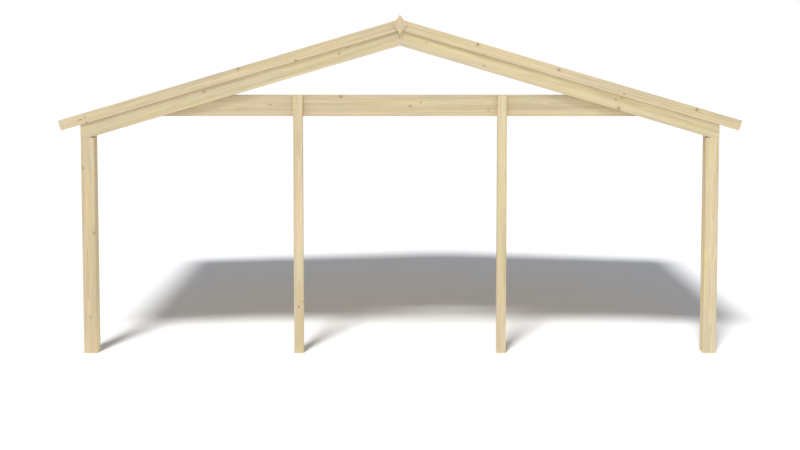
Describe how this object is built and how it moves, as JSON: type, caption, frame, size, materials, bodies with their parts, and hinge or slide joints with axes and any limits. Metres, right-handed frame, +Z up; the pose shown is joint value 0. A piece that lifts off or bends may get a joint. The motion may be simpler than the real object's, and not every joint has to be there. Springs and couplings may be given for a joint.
{
  "type": "patio cover",
  "caption": "Open timber patio cover with a low gabled roof of boards, square posts and a tie beam along its front, bargeboards and a diamond finial; its back is fixed to a wall.",
  "frame": {"origin": "on the wall, in the middle of the ridge purlin's end, in the plane of symmetry", "axes": "+X to the right as seen from the front, along the wall; +Y into the wall; +Z up. The front of the posts is at Y = -3.1 m and the ground at Z = -2.945 m."},
  "size_m": [6.2398, 3.136, 3.121],
  "materials": {
    "posts": "planed untreated spruce",
    "beams": "planed untreated spruce",
    "roof_boards": "planed tongue-and-groove spruce boards",
    "trim": "planed untreated spruce",
    "nails": "galvanised nail heads"
  },
  "bodies": {
    "root": {"bargeboard_left": "trim", "bargeboard_right": "trim", "corner_post_left": "posts", "corner_post_right": "posts", "finial": "trim", "front_rafter_left": "beams", "front_rafter_right": "beams", "inner_post_left": "posts", "inner_post_right": "posts", "purlin_lower_left": "beams", "purlin_lower_right": "beams", "purlin_middle_left": "beams", "purlin_middle_right": "beams", "purlin_upper_left": "beams", "purlin_upper_right": "beams", "ridge_purlin": "beams", "roof_deck_left": "roof_boards", "roof_deck_right": "roof_boards", "side_beam_left": "beams", "side_beam_right": "beams", "tie_beam": "beams", "wall_rafter_left": "beams", "wall_rafter_right": "beams"}
  },
  "joints": []
}
